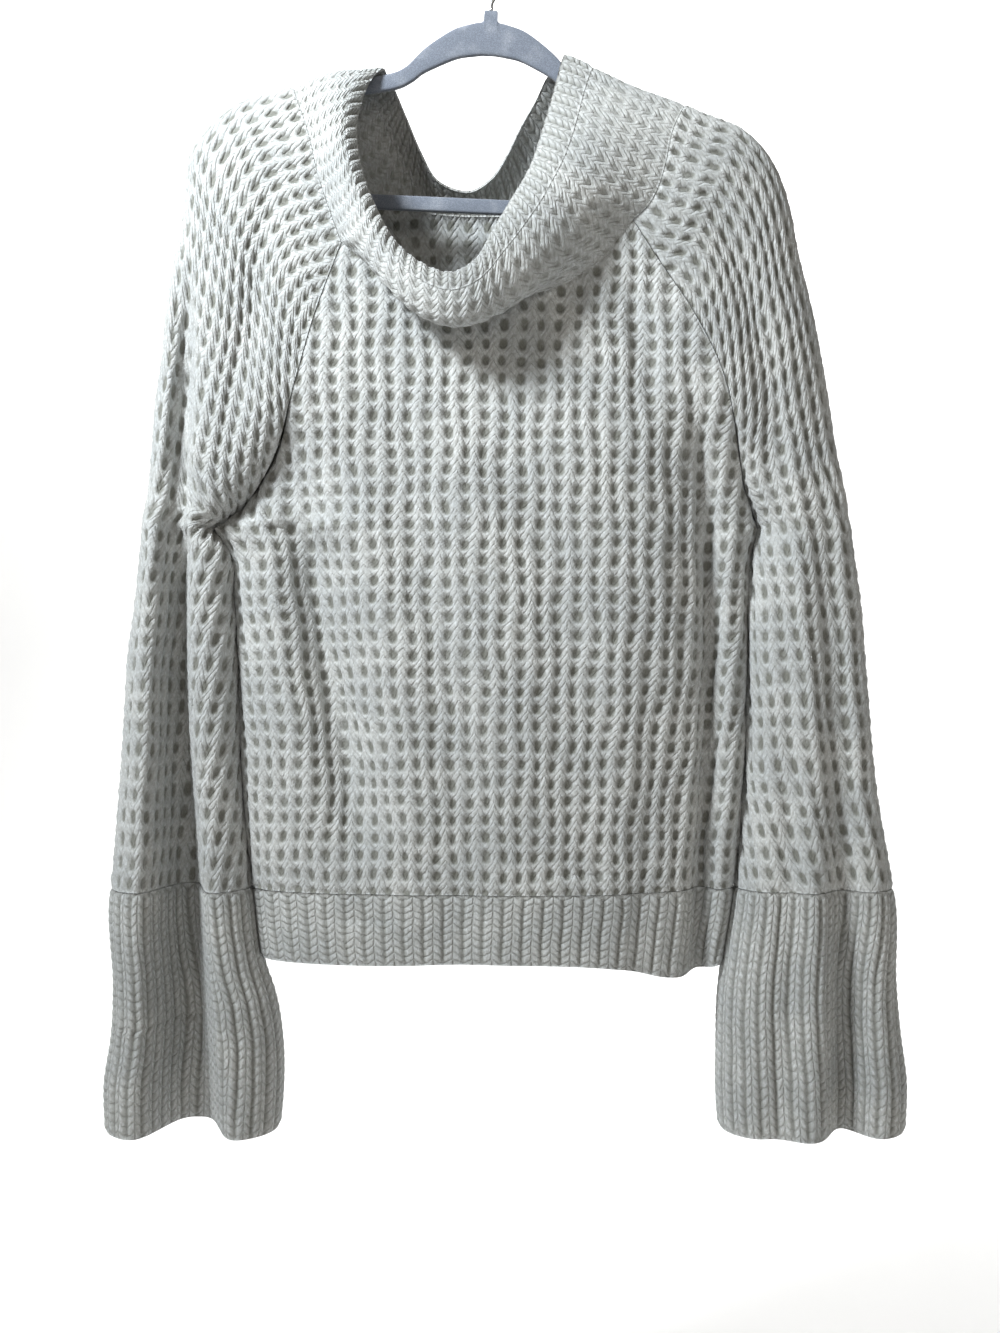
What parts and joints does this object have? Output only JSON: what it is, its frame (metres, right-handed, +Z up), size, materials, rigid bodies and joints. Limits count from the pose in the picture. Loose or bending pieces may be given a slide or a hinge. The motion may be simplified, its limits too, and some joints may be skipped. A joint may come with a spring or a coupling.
{
  "type": "cowl neck sweater on a hanger",
  "caption": "Waffle-knit sweater with raglan bell sleeves, ribbed cuffs and hem and a draped cowl collar, hung on a slim velvet hanger.",
  "frame": {"origin": "inside top of the hanger's hook, where a rail carries it", "axes": "+Z up, +X to the right seen from the front, the front faces -Y; the wearer's left sleeve is at +X"},
  "size_m": [0.6171, 0.151, 0.9224],
  "materials": {
    "waffle_knit": "thick soft waffle knit in pale silver-grey yarn",
    "rib_knit": "soft rib knit in the same yarn",
    "flocked_velvet": "grey-lavender flocked velvet over plastic",
    "steel_wire": "plated steel wire"
  },
  "bodies": {
    "root": {"front": "waffle_knit", "back": "waffle_knit", "sleeve_left": "waffle_knit", "sleeve_right": "waffle_knit", "cowl": "waffle_knit", "cowl_rib_band": "rib_knit", "front_hem_rib": "rib_knit", "back_hem_rib": "rib_knit", "cuff_left": "rib_knit", "cuff_right": "rib_knit", "hanger_board": "flocked_velvet", "hanger_hook": "steel_wire"}
  },
  "joints": []
}
